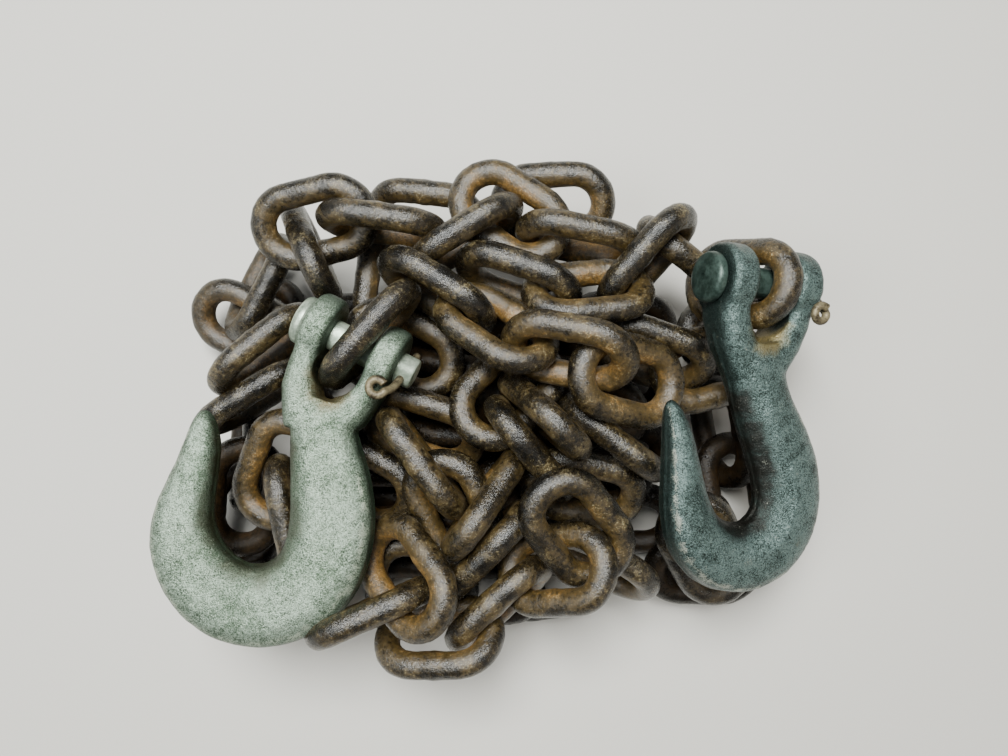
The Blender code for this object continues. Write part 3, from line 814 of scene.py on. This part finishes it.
# The links that lie under the ones in view. Each strand is a line of points (mm) that the chain
# follows, with the roll of its first link in degrees.
hiddenStrands = {
    "lowFront": (40, [(-78, -52, 15), (-20, -50, 15), (40, -54, 15), (78, -46, 15)]),
    "lowMiddle": (50, [(-86, -24, 15), (-30, -22, 15), (30, -25, 15), (78, -22, 15)]),
    "lowBack": (40, [(-86, 5, 15), (-30, 7, 15), (30, 4, 15), (78, 8, 15)]),
    "lowRear": (50, [(-78, 34, 15), (-20, 33, 15), (30, 35, 15), (76, 33, 15)]),
    "highFront": (45, [(-66, -38, 31), (0, -36, 33), (62, -38, 31)]),
    "highMiddle": (45, [(-70, -8, 32), (0, -8, 34), (66, -8, 31)]),
    "highBack": (45, [(-66, 20, 31), (0, 20, 33), (62, 20, 31)]),
    "leftEnd": (20, [(-114, -74, 14), (-112, -36, 14), (-108, 0, 14)]),
    "rightEnd": (20, [(100, -66, 14), (101, -30, 14), (97, 8, 14)]),
    "underLeftBowl": (30, [(-122, -80, 15), (-64, -90, 15)]),
    "underLeftThroat": (12, [(-107, -60, 36), (-105, -20, 36)]),
    "overLeftEnd": (60, [(-120, -82, 36), (-62, -88, 35)]),
    "underLeftRear": (0, [(-104, 12, 5.3), (-104, 54, 5.3)]),
    "underRightFront": (0, [(89, -84, 5.3), (89, -46, 5.3)]),
    "overRightFront": (25, [(70, -72, 20), (106, -72, 20)]),
    "frontEnd": (30, [(-62, -84, 14), (-20, -80, 14), (20, -84, 14), (52, -78, 14)]),
}
heapLook = {
    "pitch": 29.6,  # mm
    "arc": 6,  # straight pieces in each end of a link, for measuring
    "steps": 220,
    "thin": 0.2,  # the share of its thickness that a link starts with
    "growth": 0.5,  # the share of the steps in which a link would grow from nothing to full
    "room": 0.25,  # mm of clear air
    "fall": 0.04,  # mm that a link sinks in one step
    "fallUntil": 0.7,  # share of the steps
    "reach": 52.0,  # mm, links whose middles are farther apart can't touch
    "feel": 20.0,  # mm, how near a hook or a pin has to be to be looked at
    "sway": 15.0,  # mm, how hard a link is to turn
    "give": 0.9, "twistGive": 0.6,  # the share of a push and of a turn that one step takes
    "crowd": 0.7,  # a push is divided by its number of touches to this power
    "mostTurn": 0.08,  # radians in one step
}


def linkLine(arc):
    # The middle line of a link as a ring of points.
    half = (linkLook["insideLong"] - linkLook["insideWide"]) / 2 * mm
    radius = (linkLook["insideWide"] + linkLook["wire"]) / 2 * mm
    turns = [(way, math.pi * (k / arc - 0.5)) for way in (1, -1) for k in range(arc + 1)]
    ring = [(way * (half + radius * math.cos(a)), way * radius * math.sin(a), 0) for way, a in turns]
    return np.array(ring)


def layStrand(roll, route):
    # Middles and directions of links strung along a line of points, each a quarter turn from the last.
    route = np.array(route, float) * mm
    legs = np.linalg.norm(np.diff(route, axis=0), axis=1)
    ends = np.concatenate([[0], np.cumsum(legs)])
    count = int(ends[-1] / (heapLook["pitch"] * mm))
    laid = []
    for k in range(count):
        reach = (k + 0.5) * ends[-1] / count
        leg = min(int(np.searchsorted(ends, reach, side="right")) - 1, len(legs) - 1)
        way = (route[leg + 1] - route[leg]) / legs[leg]
        middle = route[leg] + way * (reach - ends[leg])
        across = np.cross((0, 0, 1), way)
        across /= np.linalg.norm(across)
        angle = math.radians(roll + 90 * (k % 2))
        y = across * math.cos(angle) + np.cross(way, across) * math.sin(angle)
        laid.append((middle, np.column_stack([way, y, np.cross(way, y)])))
    return laid


def nearestPoints(a, alongA, b, alongB):
    # Where straight pieces that start at a and at b come nearest to each other.
    gap = a - b
    aa, bb = (alongA * alongA).sum(-1), (alongB * alongB).sum(-1)
    ab = (alongA * alongB).sum(-1)
    ga, gb = (alongA * gap).sum(-1), (alongB * gap).sum(-1)
    s = np.clip((ab * gb - ga * bb) / np.maximum(aa * bb - ab * ab, 1e-18), 0, 1)
    t = np.clip((ab * s + gb) / bb, 0, 1)
    s = np.clip((ab * t - ga) / aa, 0, 1)
    return a + alongA * s[..., None], b + alongB * t[..., None]


def turnBy(spin):
    # A turn about the direction of spin, never large in one step.
    angle = float(np.linalg.norm(spin))
    return np.array(Matrix.Rotation(min(angle, heapLook["mostTurn"]), 3, Vector(spin)))


def wallTouches(points, middle, need, bodies):
    # How far the floor, the outermost sides of the heap and the hooks push each link back.
    owners, arms, shifts = [], [], []
    low, high = np.array(cadBox)
    for k in range(len(points)):
        for spot in points[k]:
            back = np.maximum(low + need / 2 - spot, 0) - np.maximum(spot + need / 2 - high, 0)
            if back.any():
                owners.append([k])
                arms.append([spot - middle[k]])
                shifts.append([back])
            for tree in bodies:
                hit, normal, index, gap = tree.find_nearest(Vector(spot), heapLook["feel"] * mm)
                if hit is None:
                    continue
                inside = np.array(Vector(spot) - hit) @ np.array(normal) < 0
                room = -gap if inside else gap
                if room < need / 2:
                    owners.append([k])
                    arms.append([spot - middle[k]])
                    shifts.append([np.array(normal) * (need / 2 - room)])
    return owners, arms, shifts


def easeApart(laid, fixed, bodies):
    # The hidden links start as thin as thread and grow, and give way to whatever they touch.
    # The links in view, the hooks, the floor and the outermost sides of the heap stay as they are.
    line = linkLine(heapLook["arc"])
    free = len(laid)
    middle = np.array([m for m, t in laid + fixed])
    turn = np.array([t for m, t in laid + fixed])
    left, right = np.triu_indices(len(middle), 1)
    left, right = left[left < free], right[left < free]
    sway = (heapLook["sway"] * mm) ** 2
    steps = heapLook["steps"]
    for step in range(steps + 1):
        full = min(1.0, heapLook["thin"] + step / (heapLook["growth"] * steps))
        need = full * (linkLook["wire"] + heapLook["room"]) * mm
        points = middle[:, None] + line @ turn.transpose(0, 2, 1)
        along = np.roll(points, -1, 1) - points
        near = np.linalg.norm(middle[left] - middle[right], axis=1) < heapLook["reach"] * mm
        i, j = left[near], right[near]
        a, b = nearestPoints(
            points[i][:, :, None], along[i][:, :, None], points[j][:, None], along[j][:, None]
        )
        far = np.linalg.norm(a - b, axis=-1)
        pair, row, column = np.nonzero(far < need)
        atA, atB = a[pair, row, column], b[pair, row, column]
        depth = need - far[pair, row, column]
        apart = np.maximum(np.linalg.norm(atA - atB, axis=1), 1e-9)
        way = (atA - atB) / apart[:, None] * depth[:, None]
        moves = j[pair] < free
        share = np.where(moves, 0.5, 1.0)[:, None]
        owners = [i[pair], j[pair][moves]]
        arms = [atA - middle[i[pair]], (atB - middle[j[pair]])[moves]]
        shifts = [way * share, (-way * share)[moves]]
        walls = wallTouches(points[:free], middle, need, bodies)
        owners, arms, shifts = owners + walls[0], arms + walls[1], shifts + walls[2]
        owners = np.concatenate(owners).astype(int)
        arms, shifts = np.concatenate(arms), np.concatenate(shifts)
        deepest = np.linalg.norm(shifts, axis=1).max(initial=0)
        if step == steps:
            print("hidden links", free, "deepest touch left, mm", round(deepest * 1000, 2))
            break
        touches = np.maximum(np.bincount(owners, minlength=free), 1)
        count = touches[:, None] ** heapLook["crowd"]
        push = np.stack([np.bincount(owners, shifts[:, k], free) for k in range(3)], -1) / count
        twist = np.cross(arms, shifts)
        spin = np.stack([np.bincount(owners, twist[:, k], free) for k in range(3)], -1)
        spin = spin / count / sway
        middle[:free] += push * heapLook["give"]
        if step < heapLook["fallUntil"] * steps:
            middle[:free, 2] -= heapLook["fall"] * mm
        for k in range(free):
            if np.linalg.norm(spin[k]) > 1e-9:
                turn[k] = turnBy(spin[k] * heapLook["twistGive"]) @ turn[k]
    return [(middle[k], turn[k][:, 0], turn[k][:, 1], turn[k][:, 2]) for k in range(free)]


laid = [link for roll, route in hiddenStrands.values() for link in layStrand(roll, route)]
fixed = []
for name in linkNodes:
    middle, x, y, z = linkPlace(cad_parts[name])
    fixed.append((middle, np.column_stack([x, y, z])))
bodies = []
for name in ("hook_left", "hook_right", "pin_left", "pin_right"):
    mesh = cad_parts[name].data
    faces = [tuple(face.vertices) for face in mesh.polygons]
    bodies.append(BVHTree.FromPolygons([vertex.co for vertex in mesh.vertices], faces))
# the hidden links wear the darker copy of the steel, painted shade
shadedHiddenSteel = makeChainSteel("deep")
for number, place in enumerate(easeApart(laid, fixed, bodies)):
    link = copyLink(pattern, f"hiddenLink_{number:02d}", place, number + 3, shadedHiddenSteel)
    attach(link, "root")
    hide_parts("hidden_chain_core")
bpy.data.objects.remove(pattern)


stageLook = {
    "floor": "#dcd9d2", "floorSize": 6.0, "floorLow": 0.5,  # m, mm under the lowest link
    "world": "#cfd6dd", "worldStrength": 0.14,
    # place in m, size in m, watts and colour
    "lights": {
        "overheadSoftLight": ((-0.08, 0.30, 0.95), 0.36, 20, "#f3f5f2"),
        "leftSoftLight": ((-0.50, -0.12, 0.90), 0.45, 5, "#f3f6f4"),
        "sideFill": ((0.9, -0.6, 0.8), 0.8, 2.5, "#fff3e2"),
    },
    # the photograph's own place and angle
    "camera": (0.0029, -0.0112, 0.3495), "cameraTilt": 0.062, "cameraTurn": -0.009, "lens": 27.0,
}
bpy.ops.mesh.primitive_plane_add(
    size=stageLook["floorSize"], location=(0, 0, -stageLook["floorLow"] * mm)
)
floor = bpy.context.object
floor.name = "paleFloor"
# Matt painted board, rolled: even and without a sheen.
paintSettings = {"Base Color": hexToLinear(stageLook["floor"]), "Roughness": 0.8}
floor.data.materials.append(newMaterial("paleFloorPaint", paintSettings)[0])

world = bpy.data.worlds.new("studio")
bpy.context.scene.world = world
world.use_nodes = True
sky = world.node_tree.nodes["Background"]
sky.inputs["Color"].default_value = hexToLinear(stageLook["world"])
sky.inputs["Strength"].default_value = stageLook["worldStrength"]

for name, (spot, size, power, colour) in stageLook["lights"].items():
    deselectAll()
    bpy.ops.object.light_add(type="AREA", location=spot)
    light = bpy.context.object
    light.name = name
    light.data.size = size
    light.data.energy = power
    light.data.color = hexToLinear(colour)[:3]
    light.rotation_euler = (-Vector(spot)).to_track_quat("-Z", "Y").to_euler()

bpy.ops.object.camera_add(location=stageLook["camera"])
camera = bpy.context.object
turned = Matrix.Rotation(stageLook["cameraTurn"], 3, "Z")
tilted = Matrix.Rotation(stageLook["cameraTilt"], 3, "X")
camera.rotation_euler = (turned @ tilted).to_euler()
camera.data.sensor_width = 36
camera.data.lens = stageLook["lens"]
bpy.context.scene.camera = camera
print("stage set")
